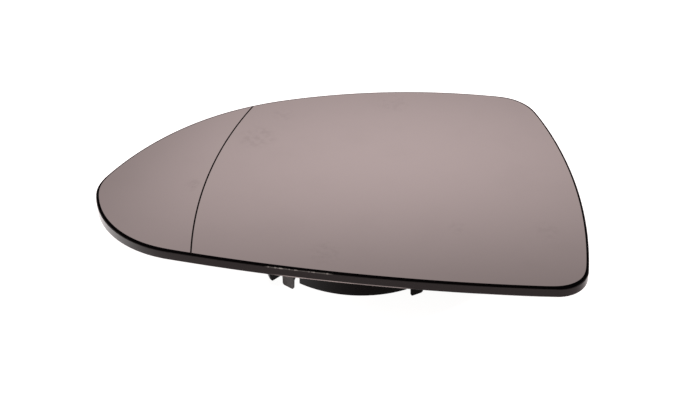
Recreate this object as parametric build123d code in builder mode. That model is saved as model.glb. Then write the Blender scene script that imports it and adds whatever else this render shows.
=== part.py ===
from build123d import *
from math import asin, cos, degrees, hypot, radians, sin, tan
import os

# Car door mirror glass for the left-hand door, in millimetres.
# The origin is on the axis of the clip ring, in the plane of its mouth. +Z comes out of the glass,
# +X runs along the bottom edge towards the car and +Y to the top of the mirror.

# Front surface: a sphere, then a tighter zone at the outer end, tangent to it
crown_height = 22.0
dome_radius = 1260.0
outer_zone_radius = 420.0
outer_zone_start = 58.5

# Outline of the glass: how far its edges reach from the ring's axis, without their bow
inner_reach = 86.4
outer_reach = 99.7
top_reach = 65.8
bottom_reach = 47.25

# Outline of the glass: its bends and corners from those reaches, the bow of its edges and the corners' radii
tip_drop = 7.8
upper_corner_inset = 28.1
upper_bend_inset = 62.6
upper_bend_drop = 15.2
lower_bend_inset = 35.0
lower_bend_rise = 0.25
bottom_bow = 6.5
inner_bow = 8.5
top_bow = 4.6
tip_rounding = 15.8
lower_rounding = 12.0
upper_rounding = 16.5

# Glass and the etched line where its outer zone starts
glass_thickness = 2.0
glass_arris = 0.4
line_radius = 200.0
line_drop = 16.8
line_width = 0.6
line_depth = 0.1

# Heating mat
pad_thickness = 0.55
pad_border = 1.8
pad_gap = 0.3
bond_gap = 0.05

# Tray of the holder
edge_gap = 0.1
lip_width = 0.35
lip_depth = 0.6
lip_chamfer = 0.15
plate_wall = 2.3
rim_chamfer = 1.0

# Clip ring, turned a little from the bottom edge, and its seat for the drive
ring_radius = 41.0
ring_wall = 1.8
ring_slot = 4.5
seat_depth = 13.0
seat_width = 2.0
clip_turn = 2.5

# Snap fingers, which stand outside the ring's slots
finger_angle = 32.1
finger_gap = 3.15
finger_wall = 0.9
finger_root_width = 6.0
finger_tip_width = 4.8
finger_near_rounding = 0.4
finger_far_rounding = 1.0
nose_gap = 1.0
nose_bottom = 0.8
nose_catch = 3.6
nose_lead = 0.5
nose_width = 2.8

# Guide ribs beside the fingers
guide_angle = 41.1
guide_foot = 5.3
guide_lean = 22.0
guide_wall = 1.2

# Stiffening ribs on the back of the plate
rib_wall = 1.2
rib_height = 2.5
rib_margin = 5.0
rib_angles = (-70, -25, 0, 25, 70)
hub_radius = 12.0

# Heater terminals
blade_width = 6.3
blade_thickness = 0.8
blade_length = 9.0
blade_tip = 1.0
blade_hole = 1.8
blade_hole_from_tip = 3.6
bend_radius = 0.6
foot_length = 5.0
solder_gap = 0.15
terminal_pitch = 17.0
terminal_gap = 11.0
window_gap = 1.4

# Depths below the front surface
land_depth = glass_thickness + bond_gap
pad_back = land_depth + pad_thickness
floor_depth = pad_back + bond_gap
plate_depth = floor_depth + plate_wall
root_depth = floor_depth + plate_wall / 2

# Radii of what stands in and round the ring, and the row of terminals above it
bore_radius = ring_radius - ring_wall
finger_radius = ring_radius + finger_gap
nose_radius = ring_radius + nose_gap
guide_root_radius = ring_radius - ring_wall / 2
guide_foot_radius = ring_radius + guide_foot
terminal_y = ring_radius + terminal_gap

# The crown's profile and the turn that sweeps it, both a little longer than the glass
overlap = 10.0
crown_centre = Vector(0, 0, crown_height - dome_radius)
half_width = max(top_reach + top_bow, bottom_reach + bottom_bow) + overlap
crown_swing = degrees(asin(half_width / dome_radius))
crown_axis = Axis(crown_centre, (1, 0, 0))
crown_plane = Plane(crown_centre, x_dir=(1, 0, 0), z_dir=(0, -1, 0)).rotated((-crown_swing, 0, 0))
field_start = 90 - degrees(asin((inner_reach + inner_bow + overlap) / dome_radius))
zone_start = 90 + degrees(asin(outer_zone_start / dome_radius))
zone_sweep = degrees((outer_reach - outer_zone_start + overlap) / outer_zone_radius)
zone_centre = Vector(cos(radians(zone_start)), sin(radians(zone_start))) * (dome_radius - outer_zone_radius)

os.makedirs("parts", exist_ok=True)


def crowned(plan, top, bottom):
    """Solid with that plan between two depths below the front surface, and no lower than the ring's mouth."""
    with BuildPart() as slab:
        with BuildSketch():
            add(plan)
        extrude(amount=crown_height + overlap)
        with BuildSketch(crown_plane):
            with BuildLine():
                upper_field = CenterArc((0, 0), dome_radius - top, field_start, zone_start - field_start)
                upper_zone = CenterArc(zone_centre, outer_zone_radius - top, zone_start, zone_sweep)
                lower_field = CenterArc((0, 0), dome_radius - bottom, field_start, zone_start - field_start)
                lower_zone = CenterArc(zone_centre, outer_zone_radius - bottom, zone_start, zone_sweep)
                Line(upper_field @ 0, lower_field @ 0)
                Line(upper_zone @ 1, lower_zone @ 1)
            make_face()
        revolve(axis=crown_axis, revolution_arc=2 * crown_swing, mode=Mode.INTERSECT)
    return slab.part


# Outline of the glass seen from the front
lower_bend = (lower_bend_inset - outer_reach, lower_bend_rise - bottom_reach)
lower_corner = (inner_reach, -bottom_reach)
upper_corner = (inner_reach - upper_corner_inset, top_reach)
upper_bend = (upper_bend_inset - outer_reach, top_reach - upper_bend_drop)
tip = (-outer_reach, -tip_drop)
with BuildSketch() as outline:
    with BuildLine():
        bottom_edge = SagittaArc(lower_bend, lower_corner, -bottom_bow)
        inner_edge = SagittaArc(lower_corner, upper_corner, -inner_bow)
        top_edge = SagittaArc(upper_corner, upper_bend, -top_bow)
        TangentArc(upper_bend, tip, tangent=top_edge % 1)
        TangentArc(lower_bend, tip, tangent=-(bottom_edge % 0))
    make_face()
    for corner, radius in ((tip, tip_rounding), (lower_corner, lower_rounding), (upper_corner, upper_rounding)):
        fillet(outline.vertices().sort_by_distance(corner)[0], radius)


def grown(amount):
    """Outline of the glass moved outwards by that amount: its arcs all bulge outwards and keep their centres."""
    with BuildSketch() as wider:
        with BuildLine():
            for arc in outline.edges():
                stretch = (arc.radius + amount) / arc.radius
                ThreePointArc([arc.arc_center + (arc @ part - arc.arc_center) * stretch for part in (0, 0.5, 1)])
        make_face()
    return wider.sketch


# Etched line where the outer zone starts, drawn past both edges of the glass
line_sweep = degrees((top_reach + bottom_reach) / line_radius)
with BuildSketch() as dividing_line:
    with BuildLine():
        CenterArc((line_radius - outer_zone_start, -line_drop), line_radius, 180 - line_sweep, 2 * line_sweep)
    trace(line_width=line_width)

# Coated glass with a ground arris round its front
with BuildPart() as mirror_glass:
    add(crowned(outline.sketch, 0, glass_thickness))
    front_faces = mirror_glass.faces().filter_by(lambda face: face.normal_at().Z > 0.5)
    side_faces = mirror_glass.faces().filter_by(GeomType.CYLINDER)
    chamfer(front_faces.edges() & side_faces.edges(), glass_arris)
    add(crowned(dividing_line.sketch, -line_depth, line_depth), mode=Mode.SUBTRACT)
mirror_glass.part.label = "mirror_glass"
export_step(mirror_glass.part, "parts/mirror_glass.step")

# Heating mat with adhesive on both faces, between the glass and the holder
with BuildPart() as heater_pad:
    add(crowned(grown(-pad_border - pad_gap), land_depth, pad_back))
heater_pad.part.label = "heater_pad"
export_step(heater_pad.part, "parts/heater_pad.step")

# One snap finger on the +X side, with its nose pointing at the ring's axis and its far corner rounder
with BuildPart() as snap_finger:
    with BuildSketch(Plane.YZ.offset(finger_radius)) as finger_face:
        with BuildLine():
            Polyline(
                (-finger_tip_width / 2, 0),
                (finger_tip_width / 2, 0),
                (finger_root_width / 2, crown_height),
                (-finger_root_width / 2, crown_height),
                close=True,
            )
        make_face()
        for x, radius in ((-finger_tip_width / 2, finger_far_rounding), (finger_tip_width / 2, finger_near_rounding)):
            fillet(finger_face.vertices().sort_by_distance((x, 0))[0], radius)
    extrude(amount=finger_wall)
    with BuildSketch(Plane.XZ):
        with BuildLine():
            Polyline(
                (finger_radius, nose_bottom),
                (nose_radius, nose_catch - nose_lead),
                (nose_radius, nose_catch),
                (finger_radius, nose_catch),
                close=True,
            )
        make_face()
    extrude(amount=nose_width / 2, both=True)

# One guide rib on the +X side: a gusset on the ring that leans out towards the plate
with BuildPart() as guide_rib:
    with BuildSketch(Plane.XZ):
        with BuildLine():
            Polyline(
                (guide_root_radius, 0),
                (guide_foot_radius, 0),
                (guide_foot_radius + crown_height * tan(radians(guide_lean)), crown_height),
                (guide_root_radius, crown_height),
                close=True,
            )
        make_face()
    extrude(amount=guide_wall / 2, both=True)

# Clip ring with its seat, fingers and guide ribs, cut off inside the plate
with BuildPart() as clip_ring:
    with BuildSketch():
        Circle(ring_radius)
        Circle(bore_radius, mode=Mode.SUBTRACT)
        for side in (-1, 1):
            with PolarLocations(ring_radius, 2, start_angle=clip_turn + 90 + side * finger_angle):
                Rectangle(3 * ring_wall, ring_slot, mode=Mode.SUBTRACT)
    extrude(amount=crown_height)
    with BuildSketch(Plane.XY.offset(seat_depth)):
        Circle(bore_radius)
        Circle(bore_radius - seat_width, mode=Mode.SUBTRACT)
    extrude(amount=crown_height - seat_depth)
    for side, finger in ((-1, snap_finger.part), (1, mirror(snap_finger.part, Plane.XZ))):
        with PolarLocations(0, 2, start_angle=clip_turn + 90 + side * finger_angle):
            add(finger)
        with PolarLocations(0, 2, start_angle=clip_turn + 90 + side * guide_angle):
            add(guide_rib.part)
    add(crowned(outline.sketch, root_depth, 2 * crown_height), mode=Mode.INTERSECT)

# Stiffening ribs: bars across the plate and a hub where they meet
with BuildSketch() as rib_plan:
    for angle in rib_angles:
        Rectangle(2 * hypot(outer_reach, top_reach), rib_wall, rotation=clip_turn + angle)
    Circle(hub_radius)
    Circle(hub_radius - rib_wall, mode=Mode.SUBTRACT)
    add(grown(-rib_margin), mode=Mode.INTERSECT)

# Openings in the plate: one over each nose, where the mould's core stood, and one for each terminal
with BuildSketch() as window_plan:
    for side in (-1, 1):
        with PolarLocations(finger_radius, 2, start_angle=clip_turn + 90 + side * finger_angle):
            Rectangle(finger_radius - nose_radius, nose_width, align=(Align.MAX, Align.CENTER))
    with Locations((-terminal_pitch / 2, terminal_y), (terminal_pitch / 2, terminal_y)):
        Rectangle(blade_width + 2 * window_gap, foot_length + 2 * window_gap)

# Holder: a crowned tray with a low lip round the glass, and everything on its back
with BuildPart() as glass_holder:
    add(crowned(grown(edge_gap + lip_width), lip_depth, plate_depth))
    for facing, size in ((-1, rim_chamfer), (1, lip_chamfer)):
        flat_faces = glass_holder.faces().filter_by(lambda face: face.normal_at().Z * facing > 0.9)
        side_faces = glass_holder.faces().filter_by(GeomType.CYLINDER)
        chamfer(flat_faces.edges() & side_faces.edges(), size)
    add(crowned(grown(edge_gap), 0, land_depth), mode=Mode.SUBTRACT)
    add(crowned(grown(-pad_border), lip_depth, floor_depth), mode=Mode.SUBTRACT)
    add(clip_ring.part)
    add(crowned(rib_plan.sketch, root_depth, plate_depth + rib_height))
    add(crowned(window_plan.sketch, lip_depth, plate_depth + plate_wall), mode=Mode.SUBTRACT)
glass_holder.part.label = "glass_holder"
export_step(glass_holder.part, "parts/glass_holder.step")

# Blade terminals of the heating mat: bent strips whose feet are soldered to its back
for name, x in (("inner", terminal_pitch / 2), ("outer", -terminal_pitch / 2)):
    rise = (dome_radius**2 - x**2 - terminal_y**2) ** 0.5
    outward = Vector(x, terminal_y, rise).normalized()
    foot_top = crown_centre + outward * (dome_radius - pad_back - solder_gap)
    foot_plane = Plane(foot_top, x_dir=(1, 0, 0), z_dir=outward)
    side_plane = Plane(foot_plane.origin, x_dir=foot_plane.y_dir, z_dir=foot_plane.x_dir)
    face_plane = Plane(foot_plane.origin, x_dir=foot_plane.x_dir, z_dir=foot_plane.y_dir)
    with BuildPart() as heater_terminal:
        with BuildSketch(side_plane) as bent_strip:
            outer_bend = (foot_length / 2, 0)
            inner_bend = (foot_length / 2 - blade_thickness, -blade_thickness)
            with BuildLine():
                Polyline(
                    (-foot_length / 2, 0),
                    outer_bend,
                    (outer_bend[0], -blade_length),
                    (inner_bend[0], -blade_length),
                    inner_bend,
                    (-foot_length / 2, -blade_thickness),
                    close=True,
                )
            make_face()
            fillet(bent_strip.vertices().sort_by_distance(outer_bend)[0], bend_radius + blade_thickness)
            fillet(bent_strip.vertices().sort_by_distance(inner_bend)[0], bend_radius)
        extrude(amount=blade_width / 2, both=True)
        tip_edges = heater_terminal.edges().filter_by(Axis(foot_plane.origin, foot_plane.y_dir)).group_by(Axis.Z)[0]
        chamfer(tip_edges, blade_tip)
        with BuildSketch(face_plane):
            with Locations((0, blade_length - blade_hole_from_tip)):
                Circle(blade_hole / 2)
        extrude(amount=foot_length, mode=Mode.SUBTRACT)
    heater_terminal.part.label = f"heater_terminal_{name}"
    export_step(heater_terminal.part, f"parts/heater_terminal_{name}.step")
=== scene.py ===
from math import atan2, ceil, cos, radians, sin, sqrt

import bmesh
import bpy
from mathutils import Matrix, Vector


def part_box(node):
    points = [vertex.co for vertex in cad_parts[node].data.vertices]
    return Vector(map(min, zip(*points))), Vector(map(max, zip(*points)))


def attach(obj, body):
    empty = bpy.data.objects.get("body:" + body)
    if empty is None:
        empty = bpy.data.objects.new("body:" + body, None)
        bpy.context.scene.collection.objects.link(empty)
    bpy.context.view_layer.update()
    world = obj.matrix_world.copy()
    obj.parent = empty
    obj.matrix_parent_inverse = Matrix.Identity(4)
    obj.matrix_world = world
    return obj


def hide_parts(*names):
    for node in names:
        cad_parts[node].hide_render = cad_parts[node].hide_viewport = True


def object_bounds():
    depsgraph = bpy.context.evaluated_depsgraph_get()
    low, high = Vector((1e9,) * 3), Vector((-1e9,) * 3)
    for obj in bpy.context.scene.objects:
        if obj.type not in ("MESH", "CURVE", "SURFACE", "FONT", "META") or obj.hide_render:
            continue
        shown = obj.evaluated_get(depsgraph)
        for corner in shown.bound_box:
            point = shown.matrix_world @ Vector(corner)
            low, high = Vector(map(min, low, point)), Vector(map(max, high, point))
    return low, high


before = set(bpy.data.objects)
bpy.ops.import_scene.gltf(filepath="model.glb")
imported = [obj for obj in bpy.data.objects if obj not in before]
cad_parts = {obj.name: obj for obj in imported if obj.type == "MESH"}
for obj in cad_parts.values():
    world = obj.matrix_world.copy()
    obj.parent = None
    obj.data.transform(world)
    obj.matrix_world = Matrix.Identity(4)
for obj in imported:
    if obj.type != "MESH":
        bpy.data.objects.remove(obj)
cad_low, cad_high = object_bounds()
mm = 0.001

# Glass holder: one injection moulding in black plastic, a crowned tray with a low lip round the glass and,
# under it, the clip ring, snap fingers and ribs that hold it on the drive. The polished tool leaves a satin
# gloss, one finger is lighter grey and matt, handling has scuffed the lip, and a pale highlight is painted
# along the rim's lower edge.
plastic_black = (0.0065, 0.0052, 0.0052, 1)
plastic_matt = (0.055, 0.052, 0.051, 1)
plastic_matt_fleck = (0.088, 0.083, 0.081, 1)
plastic_scuffed = (0.39, 0.37, 0.345, 1)
# Pale colour of the highlight painted along the rim's lower edge.
highlight_pale = (0.47, 0.435, 0.42, 1)
plastic_roughness = (0.06, 0.14)
matt_dulling = 0.35
scuff_dulling = 0.4
grain_depth = 0.02 * mm
grain_strength = 0.2
dome_radius = 1260 * mm
matt_finger = Vector((-22.4, -39.0, 0)) * mm
matt_reach = 3 * mm
matt_fade = 0.4 * mm
# Near-side limit for the lip scuffs and for the painted highlight on the rim's lower edge.
wear_and_highlight_near = -50 * mm
wear_and_highlight_near_fade = 2 * mm
scuffs_from = -27 * mm
scuffs_to = -5 * mm
scuffs_fade = 2 * mm
scuffs_level = 21.25 * mm
scuffs_level_fade = 0.05 * mm
# Where the painted highlight runs: across the near side, in a thin band up the rim's lower edge.
highlight_from = -20 * mm
highlight_from_fade = 8 * mm
highlight_to = 20 * mm
highlight_to_fade = 6 * mm
highlight_bottom = 17.3 * mm
highlight_bottom_fade = 0.2 * mm
highlight_top = 18.32 * mm
highlight_top_fade = 0.1 * mm


def new_material(name):
    """A node material with its shader, and the place on the piece that its patterns are drawn at."""
    material = bpy.data.materials.new(name)
    material.use_nodes = True
    tree = material.node_tree
    place = tree.nodes.new("ShaderNodeTexCoord").outputs["Object"]
    return material, tree, tree.nodes["Principled BSDF"], place


def node(tree, kind, inputs, **settings):
    """A shader node with its settings, whose inputs are numbers, colours or the sockets that feed them."""
    made = tree.nodes.new("ShaderNode" + kind)
    for name, value in settings.items():
        setattr(made, name, value)
    for key, value in inputs.items():
        if isinstance(value, bpy.types.NodeSocket):
            tree.links.new(value, made.inputs[key])
        else:
            made.inputs[key].default_value = value
    return made


def span(tree, value, start, end, low, high):
    """The value's share of the way from start to end, eased at both ends, as a number from low to high."""
    inputs = {"Value": value, "From Min": start, "From Max": end, "To Min": low, "To Max": high}
    return node(tree, "MapRange", inputs, interpolation_type="SMOOTHSTEP").outputs["Result"]


def above(tree, value, limit, fade):
    """One above the limit, easing to nothing over the fade below it."""
    return span(tree, value, limit - fade, limit, 0, 1)


def below(tree, value, limit, fade):
    """One below the limit, easing to nothing over the fade above it."""
    return span(tree, value, limit, limit + fade, 1, 0)


def combined(tree, operation, value, *others):
    """The numbers put together one after the other, such as by ADD, MULTIPLY or MAXIMUM."""
    for other in others:
        value = node(tree, "Math", {0: value, 1: other}, operation=operation).outputs[0]
    return value


def mixed(tree, share, first, second):
    """A colour that goes from the first to the second with the share."""
    return node(tree, "Mix", {"Factor": share, 6: first, 7: second}, data_type="RGBA").outputs[2]


def noise(tree, place, scale, detail):
    """Soft noise of that many cells to the metre."""
    return node(tree, "TexNoise", {"Vector": place, "Scale": scale, "Detail": detail}).outputs["Fac"]


def stretched(tree, place, scale):
    """The place in cells of their own length along each axis, for noise that runs in streaks."""
    return node(tree, "Mapping", {"Vector": place, "Scale": scale}).outputs["Vector"]


def plan(tree, place):
    """The place as seen from the front, with no height."""
    return node(tree, "VectorMath", {0: place, 1: (1, 1, 0)}, operation="MULTIPLY").outputs["Vector"]


def near(tree, place, spot, reach, fade):
    """One within reach of a spot as seen from the front, easing to nothing over the fade round it."""
    away = node(tree, "VectorMath", {0: plan(tree, place), 1: spot}, operation="DISTANCE").outputs["Value"]
    return below(tree, away, reach, fade)


def uncrowned(tree, place):
    """Height of the place with the dome's fall added back, so that one level follows the rim."""
    flat = plan(tree, place)
    spread = node(tree, "VectorMath", {0: flat, 1: flat}, operation="DOT_PRODUCT").outputs["Value"]
    height = node(tree, "SeparateXYZ", {"Vector": place}).outputs["Z"]
    return combined(tree, "ADD", combined(tree, "MULTIPLY", spread, 1 / (2 * dome_radius)), height)


def holder_plastic():
    """Black moulding plastic: cloudy satin gloss, a fine tool grain, a matt finger, scuffs on the lip
    and a painted highlight along the rim's lower edge.
    """
    material, tree, shader, place = new_material("holder_black_plastic")
    x, y, _ = node(tree, "SeparateXYZ", {"Vector": place}).outputs
    level = uncrowned(tree, place)
    near_side = below(tree, y, wear_and_highlight_near, wear_and_highlight_near_fade)
    matt = near(tree, place, matt_finger, matt_reach, matt_fade)
    fleck = span(tree, noise(tree, place, 1500, 2), 0.4, 0.65, 0, 1)
    scuffed = combined(
        tree,
        "MULTIPLY",
        span(tree, noise(tree, stretched(tree, place, (800, 40, 40)), 1, 2), 0.48, 0.64, 0.3, 1),
        span(tree, noise(tree, place, 190, 1), 0.35, 0.6, 0.6, 1),
        above(tree, x, scuffs_from, scuffs_fade),
        below(tree, x, scuffs_to, scuffs_fade),
        above(tree, level, scuffs_level, scuffs_level_fade),
        near_side,
    )
    # Painted highlight: a pale strip along the rim's lower edge that stands in for the reflection its edge
    # would catch.
    edge_highlight = combined(
        tree,
        "MULTIPLY",
        span(tree, noise(tree, place, 120, 2), 0.35, 0.65, 0.7, 1),
        above(tree, x, highlight_from, highlight_from_fade),
        below(tree, x, highlight_to, highlight_to_fade),
        above(tree, level, highlight_bottom, highlight_bottom_fade),
        below(tree, level, highlight_top, highlight_top_fade),
        near_side,
    )
    colour = mixed(tree, matt, plastic_black, mixed(tree, fleck, plastic_matt, plastic_matt_fleck))
    colour = mixed(tree, scuffed, colour, plastic_scuffed)
    colour = mixed(tree, edge_highlight, colour, highlight_pale)
    tree.links.new(colour, shader.inputs["Base Color"])
    roughness = combined(
        tree,
        "ADD",
        span(tree, noise(tree, place, 55, 3), 0.3, 0.7, *plastic_roughness),
        combined(tree, "MULTIPLY", matt, matt_dulling),
        combined(tree, "MULTIPLY", scuffed, scuff_dulling),
    )
    tree.links.new(roughness, shader.inputs["Roughness"])
    grain = {"Height": noise(tree, place, 2600, 2), "Strength": grain_strength, "Distance": grain_depth}
    tree.links.new(node(tree, "Bump", grain).outputs["Normal"], shader.inputs["Normal"])
    return material


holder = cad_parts["glass_holder"]
holder.data.materials.clear()
holder.data.materials.append(holder_plastic())

# Heater terminals: two blades stamped and bent from tinned brass strip, soldered to the back of the heating
# mat. They take push-on receptacles.
tin_bright = (0.66, 0.62, 0.54, 1)
tin_tarnished = (0.52, 0.47, 0.37, 1)
tin_roughness = (0.25, 0.42)


def tinned_brass():
    """Dull tin over brass, brushed along the blade by the receptacles."""
    material, tree, shader, place = new_material("terminal_tinned_brass")
    brushing = noise(tree, stretched(tree, place, (9000, 9000, 400)), 1, 3)
    tree.links.new(span(tree, brushing, 0.3, 0.7, *tin_roughness), shader.inputs["Roughness"])
    tarnish = span(tree, noise(tree, place, 320, 3), 0.35, 0.7, 0, 1)
    tree.links.new(mixed(tree, tarnish, tin_bright, tin_tarnished), shader.inputs["Base Color"])
    shader.inputs["Metallic"].default_value = 1
    return material


terminal_finish = tinned_brass()
for name in ("heater_terminal_inner", "heater_terminal_outer"):
    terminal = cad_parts[name]
    terminal.data.materials.clear()
    terminal.data.materials.append(terminal_finish)

# Heating mat: a thin film with a printed heating track between two layers of adhesive, stuck to the back of
# the glass and to the floor of the tray.
film_black = (0.03, 0.03, 0.032, 1)
film_track = (0.16, 0.155, 0.15, 1)
film_roughness = (0.5, 0.62)


def mat_film():
    """Dark film with the heating track showing through as fine grey rows."""
    material, tree, shader, place = new_material("heater_mat_film")
    rows = node(tree, "TexWave", {"Vector": place, "Scale": 40, "Distortion": 0.4}, bands_direction="Y")
    track = span(tree, rows.outputs["Fac"], 0.55, 0.7, 0, 1)
    tree.links.new(mixed(tree, track, film_black, film_track), shader.inputs["Base Color"])
    tree.links.new(span(tree, track, 0, 1, *film_roughness), shader.inputs["Roughness"])
    return material


heater_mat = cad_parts["heater_pad"]
heater_mat.data.materials.clear()
heater_mat.data.materials.append(mat_film())

# Mirror glass: 2 mm float glass, bent to a gentle dome with a tighter outer zone, chromed on its front and
# cut to shape. Its edge is ground round and looks black, and an etched line marks off the outer zone. Faint
# finger marks dull the chrome.
crown_height = cad_high.z
zone_radius = 420 * mm
zone_start = 58.5 * mm
glass_thickness = 2 * mm
arris = 0.35 * mm
arris_steps = 4
bare_border = 0.25 * mm
border_drop = 0.01 * mm
mask_rounding = 24
rim_step = 1.2 * mm
line_radius = 200 * mm
line_centre = Vector((line_radius - zone_start, -16.8 * mm, 0))
line_width = 0.6 * mm
line_depth = 0.1 * mm
line_sweep = radians(60)
line_steps = 120
cell = 2.4 * mm
# The chrome's warm tint is partly painted reflection: it carries a share of the warm room colour seen in the
# mirror.
chrome = (0.64, 0.58, 0.575, 1)
chrome_touched = (0.56, 0.506, 0.501, 1)
chrome_roughness = (0.035, 0.09)
edge_black = (0.0015, 0.0012, 0.0014, 1)
edge_ground = (0.004, 0.0034, 0.0038, 1)
edge_roughness = (0.35, 0.5)
line_dark = (0.004, 0.003, 0.003, 1)
line_pale = (0.012, 0.008, 0.008, 1)
line_roughness = (0.6, 0.8)
line_gloss = 0.1
# Each finger mark has its middle, its reach and its strength
finger_marks = (
    (Vector((-43.4, 23.4, 0)) * mm, 10 * mm, 0.7),
    (Vector((-35.7, 40.1, 0)) * mm, 6 * mm, 0.4),
    (Vector((-62.7, -8.9, 0)) * mm, 5 * mm, 0.6),
    (Vector((6.1, 53.6, 0)) * mm, 9 * mm, 0.4),
    (Vector((-7.7, -43.4, 0)) * mm, 8 * mm, 0.5),
    (Vector((71.0, -18.7, 0)) * mm, 7 * mm, 0.4),
    (Vector((38.6, -22.9, 0)) * mm, 5 * mm, 0.35),
)


def crown(x, y, depth):
    """Height of the surface that lies that deep below the glass's front."""
    centre = crown_height - dome_radius
    profile = sqrt((dome_radius - depth) ** 2 - x**2)
    if x < -zone_start:
        share = 1 - zone_radius / dome_radius
        zone_x = -zone_start * share
        profile = sqrt(dome_radius**2 - zone_start**2) * share
        profile += sqrt((zone_radius - depth) ** 2 - (x - zone_x) ** 2)
    return centre + sqrt(profile**2 - y**2)


def mesh_object(shape, name):
    """An object at the origin with that shape."""
    mesh = bpy.data.meshes.new(name)
    shape.to_mesh(mesh)
    shape.free()
    made = bpy.data.objects.new(name, mesh)
    bpy.context.scene.collection.objects.link(made)
    return made


def heading(before, point, after):
    """Direction at the point of the circle through all three."""
    back, ahead = point - before, after - point
    return (back / back.length_squared + ahead / ahead.length_squared).normalized()


def refined(points, step):
    """A closed row of points on a smooth curve, with more set between them on that curve."""
    finer = []
    for index, start in enumerate(points):
        end = points[(index + 1) % len(points)]
        leaving = heading(points[index - 1], start, end)
        arriving = heading(start, end, points[(index + 2) % len(points)])
        chord = (end - start).length
        pieces = ceil(chord / step)
        for piece in range(pieces):
            t = piece / pieces
            bulge = leaving * (1 - t) - arriving * t
            straight = (end - start) * (1 - 2 * t)
            finer.append(start.lerp(end, t) + (bulge * chord - straight) * t * (1 - t))
    return finer


# The blank is the solid's outline, laid flat, with its arcs made finer, its thickness and its ground edge.
solid = bmesh.new()
solid.from_mesh(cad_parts["mirror_glass"].data)
bmesh.ops.remove_doubles(solid, verts=solid.verts, dist=0.001 * mm)
bmesh.ops.delete(solid, geom=[face for face in solid.faces if face.normal.z > -0.5], context="FACES")
rim = [Vector((vertex.co.x, vertex.co.y, -glass_thickness)) for vertex in solid.verts if vertex.is_boundary]
rim.sort(key=lambda point: atan2(point.y, point.x))
solid.free()
blank = bmesh.new()
back_face = blank.faces.new([blank.verts.new(point) for point in refined(rim, rim_step)])
grown = bmesh.ops.extrude_face_region(blank, geom=[back_face], use_keep_orig=True)
raised = [part for part in grown["geom"] if isinstance(part, bmesh.types.BMVert)]
bmesh.ops.translate(blank, verts=raised, vec=(0, 0, glass_thickness - border_drop))
bmesh.ops.recalc_face_normals(blank, faces=blank.faces)
bmesh.ops.bevel(
    blank,
    geom=[edge for edge in blank.edges if all(vertex.co.z > -arris for vertex in edge.verts)],
    offset=arris,
    segments=arris_steps,
    profile=0.5,
    affect="EDGES",
    clamp_overlap=True,
    material=-1,
)

# The chrome stops short of the edge, and its mask has rounder corners than the glass.
coated = max(blank.faces, key=lambda face: face.calc_center_median().z)
bmesh.ops.inset_region(blank, faces=[coated], thickness=bare_border, depth=border_drop, use_even_offset=True)
chrome_rim = [loop.vert for loop in coated.loops]
for _ in range(mask_rounding):
    places = [vertex.co.copy() for vertex in chrome_rim]
    for index, vertex in enumerate(chrome_rim):
        between = (places[index - 1] + places[(index + 1) % len(places)]) / 2
        vertex.co = (places[index] + between) / 2
pane = mesh_object(blank, "mirror_pane")

# The line's cutter is a closed band swung round the line's centre, and leaves a shallow groove.
band = bmesh.new()
upright = Matrix.Rotation(radians(90), 4, "X")
bmesh.ops.create_grid(band, x_segments=1, y_segments=1, size=0.5, matrix=upright)
bmesh.ops.scale(band, verts=band.verts, vec=(line_width, 1, 2 * line_depth))
bmesh.ops.translate(band, verts=band.verts, vec=line_centre - Vector((line_radius, 0, 0)))
sweep_start = Matrix.Rotation(-line_sweep / 2, 3, "Z")
bmesh.ops.rotate(band, verts=band.verts, cent=line_centre, matrix=sweep_start)
bmesh.ops.spin(
    band, geom=band.faces[:], cent=line_centre, axis=(0, 0, 1), angle=line_sweep, steps=line_steps
)
bmesh.ops.holes_fill(band, edges=[edge for edge in band.edges if edge.is_boundary])
bmesh.ops.recalc_face_normals(band, faces=band.faces)
cutter = mesh_object(band, "line_cutter")
groove = pane.modifiers.new("line", "BOOLEAN")
groove.object = cutter
groove.solver = "EXACT"
grooved = bpy.data.meshes.new_from_object(pane.evaluated_get(bpy.context.evaluated_depsgraph_get()))
bpy.data.objects.remove(pane)
bpy.data.objects.remove(cutter)

# Cut into a fine grid, the flat pane is bent to the crown. Its faces are chrome, ground edge or etched line.
bent = bmesh.new()
bent.from_mesh(grooved)
for face in bent.faces:
    depth = -face.calc_center_median().z
    face.material_index = 1
    if face.normal.z > 0.99999:
        face.material_index = 0 if depth < line_depth / 2 else 2
    face.smooth = True
glass_low, glass_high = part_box("mirror_glass")
for axis in (Vector((1, 0, 0)), Vector((0, 1, 0))):
    cut = glass_low.dot(axis) + cell / 2
    while cut < glass_high.dot(axis):
        parts = bent.verts[:] + bent.edges[:] + bent.faces[:]
        bmesh.ops.bisect_plane(bent, geom=parts, plane_co=axis * cut, plane_no=axis)
        cut += cell
for vertex in bent.verts:
    vertex.co.z = crown(vertex.co.x, vertex.co.y, -vertex.co.z)
for edge in bent.edges:
    edge.smooth = len({face.material_index for face in edge.link_faces}) == 1
glass = mesh_object(bent, "mirror_pane")


def chrome_front():
    """Chromed glass, a little hazy and darker in patches where it was touched."""
    material, tree, shader, place = new_material("mirror_chrome")
    patches = span(tree, noise(tree, place, 420, 5), 0.38, 0.68, 0.1, 1)
    touched = span(tree, noise(tree, place, 60, 3), 0.45, 0.75, 0, 0.14)
    for spot, reach, strength in finger_marks:
        mark = near(tree, place, spot, reach / 3, reach * 2 / 3)
        touched = combined(tree, "MAXIMUM", touched, combined(tree, "MULTIPLY", mark, patches, strength))
    tree.links.new(mixed(tree, touched, chrome, chrome_touched), shader.inputs["Base Color"])
    tree.links.new(span(tree, touched, 0, 1, *chrome_roughness), shader.inputs["Roughness"])
    shader.inputs["Metallic"].default_value = 1
    return material


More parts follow.
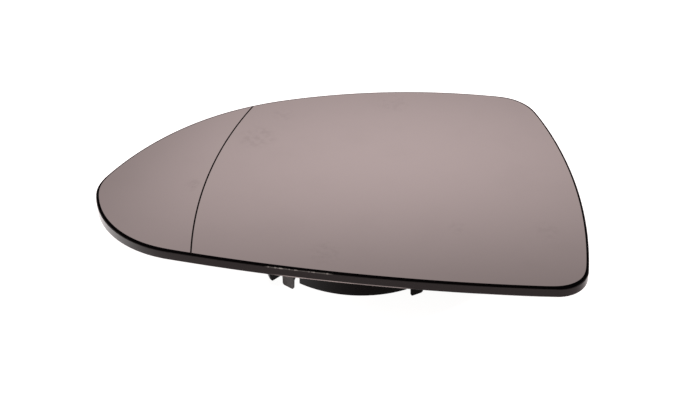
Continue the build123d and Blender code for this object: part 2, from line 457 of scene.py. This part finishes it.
def ground_edge():
    """The glass's ground edge, black because the mat behind it is, with a fine grinding grain."""
    material, tree, shader, place = new_material("glass_ground_edge")
    grinding = span(tree, noise(tree, place, 3000, 2), 0.35, 0.65, 0, 1)
    tree.links.new(mixed(tree, grinding, edge_black, edge_ground), shader.inputs["Base Color"])
    tree.links.new(span(tree, grinding, 0, 1, *edge_roughness), shader.inputs["Roughness"])
    shader.inputs["Specular IOR Level"].default_value = 0
    return material


def etched_line():
    """The etched line, a matt dark groove, paler where the etch bit less."""
    material, tree, shader, place = new_material("etched_line")
    bite = span(tree, noise(tree, place, 700, 2), 0.35, 0.65, 0, 1)
    tree.links.new(mixed(tree, bite, line_dark, line_pale), shader.inputs["Base Color"])
    tree.links.new(span(tree, bite, 0, 1, *line_roughness), shader.inputs["Roughness"])
    shader.inputs["Specular IOR Level"].default_value = line_gloss
    return material


for finish in (chrome_front(), ground_edge(), etched_line()):
    glass.data.materials.append(finish)
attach(glass, "root")
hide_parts("mirror_glass")

# Floor: a luminous white sheet, as on a light table, that the camera sees as plain white. It is brighter
# behind the object than in front of it, and a painted shadow darkens it round the clip ring and at the near
# guide rib's foot.
floor_side = 12
floor_seen = 0.96
floor_front = 0.0
floor_back = 1.35
floor_from = -65 * mm
floor_to = -8 * mm
floor_pale = (0.84, 0.74, 0.74, 1)
floor_shaded = (0.15, 0.135, 0.135, 1)
floor_tint = (1, 1, 0.995, 1)
floor_roughness = 0.9
shade_light = 0.13
shade_reach = 57 * mm
shade_fade = 6 * mm
shade_from = -50 * mm
shade_to = 18 * mm
rib_foot = Vector((-26.5, -35.5, 0)) * mm
rib_shade_reach = 3 * mm
rib_shade_fade = 3 * mm
camera_azimuth = radians(7.41)
ground = bmesh.new()
bmesh.ops.create_grid(ground, x_segments=1, y_segments=1, size=floor_side / 2)
floor = mesh_object(ground, "floor")
floor_white, tree, shader, place = new_material("floor_white")
floor_x = node(tree, "SeparateXYZ", {"Vector": place}).outputs["X"]
# Painted shadow: the floor's colour is darkened and its glow dimmed round the clip ring and at the guide
# rib's foot.
ring_shade = near(tree, place, Vector((0, 0, 0)), shade_reach, shade_fade)
ring_shade = combined(tree, "MULTIPLY", ring_shade, span(tree, floor_x, shade_from, shade_to, 0, 1))
rib_shade = near(tree, place, rib_foot, rib_shade_reach, rib_shade_fade)
shaded = combined(tree, "MAXIMUM", ring_shade, rib_shade)
tree.links.new(mixed(tree, shaded, floor_pale, floor_shaded), shader.inputs["Base Color"])
shader.inputs["Roughness"].default_value = floor_roughness
shader.inputs["Specular IOR Level"].default_value = 0
shader.inputs["Emission Color"].default_value = floor_tint
onward = (-sin(camera_azimuth), cos(camera_azimuth), 0)
floor_depth = node(tree, "VectorMath", {0: place, 1: onward}, operation="DOT_PRODUCT").outputs["Value"]
shining = span(tree, floor_depth, floor_from, floor_to, floor_front, floor_back)
shining = combined(tree, "MULTIPLY", shining, span(tree, shaded, 0, 1, 1, shade_light))
seen = node(tree, "LightPath", {}).outputs["Is Camera Ray"]
floor_glow = node(tree, "Mix", {"Factor": seen, 2: shining, 3: floor_seen}).outputs[0]
tree.links.new(floor_glow, shader.inputs["Emission Strength"])
floor.data.materials.append(floor_white)

# Studio: dim warm walls with one broad soft glow behind the object, a brighter front and a softbox overhead.
# The front and the softbox are flagged off, so they light the object but don't show in the mirror.
studio_tint = (1.134, 1.0, 0.985, 1)
wall_light = 0.42
ceiling_light = 0.20
front_light = 0.5
front_from = -0.1
front_to = -0.7
glow_light = 0.32
glow_azimuth = radians(-5.4)
glow_elevation = radians(35.3)
glow_half_width = radians(27.0)
glow_half_height = radians(14.7)
glow_tilt = radians(8)
glow_depth = 1000
softbox_side = 1.4
softbox_power = 8
softbox_place = (0, -0.2, 1.6)
studio = bpy.data.worlds.new("studio")
bpy.context.scene.world = studio
studio.use_nodes = True
tree = studio.node_tree
direction = tree.nodes.new("ShaderNodeTexCoord").outputs["Generated"]
_, away, upward = node(tree, "SeparateXYZ", {"Vector": direction}).outputs
inputs = {"Value": upward, "From Min": 0, "From Max": 1, "To Min": wall_light, "To Max": ceiling_light}
walls = node(tree, "MapRange", inputs).outputs["Result"]
front = span(tree, away, front_from, front_to, 0, front_light)
mirrored = node(tree, "LightPath", {}).outputs["Is Glossy Ray"]
front = combined(tree, "MULTIPLY", front, span(tree, mirrored, 0, 1, 1, 0))
glow_turn = Matrix.Rotation(-glow_azimuth, 3, "Z") @ Matrix.Rotation(glow_elevation, 3, "X")
glow_turn = glow_turn @ Matrix.Rotation(glow_tilt, 3, "Y")
glow_size = (sin(glow_half_width), glow_depth, sin(glow_half_height))
inputs = {"Vector": direction, "Rotation": glow_turn.to_euler(), "Scale": glow_size}
from_glow = node(tree, "Mapping", inputs, vector_type="TEXTURE").outputs["Vector"]
distance = node(tree, "VectorMath", {0: from_glow}, operation="LENGTH").outputs["Value"]
glow = span(tree, distance, 0, 1, glow_light, 0)
tree.links.new(combined(tree, "ADD", walls, glow, front), tree.nodes["Background"].inputs["Strength"])
tree.nodes["Background"].inputs["Color"].default_value = studio_tint
softbox_light = bpy.data.lights.new("softbox", "AREA")
softbox_light.shape = "SQUARE"
softbox_light.size = softbox_side
softbox_light.energy = softbox_power
softbox = bpy.data.objects.new("softbox", softbox_light)
softbox.location = softbox_place
softbox.visible_glossy = False
bpy.context.scene.collection.objects.link(softbox)

# Camera: a long lens that looks down on the mirror from the near side.
camera_aim = Vector((-10.6, 14.9, 0)) * mm
camera_distance = 750 * mm
camera_elevation = radians(38)
sensor_width = 36
focal_length = 102.14
lens = bpy.data.cameras.new("camera")
lens.sensor_width = sensor_width
lens.lens = focal_length
lens.clip_start = 10 * mm
camera = bpy.data.objects.new("camera", lens)
to_camera = Vector((
    sin(camera_azimuth) * cos(camera_elevation),
    -cos(camera_azimuth) * cos(camera_elevation),
    sin(camera_elevation),
))
camera.location = camera_aim + to_camera * camera_distance
camera.rotation_euler = to_camera.to_track_quat("Z", "Y").to_euler()
bpy.context.scene.collection.objects.link(camera)
bpy.context.scene.camera = camera
bpy.context.scene.view_settings.view_transform = "Standard"
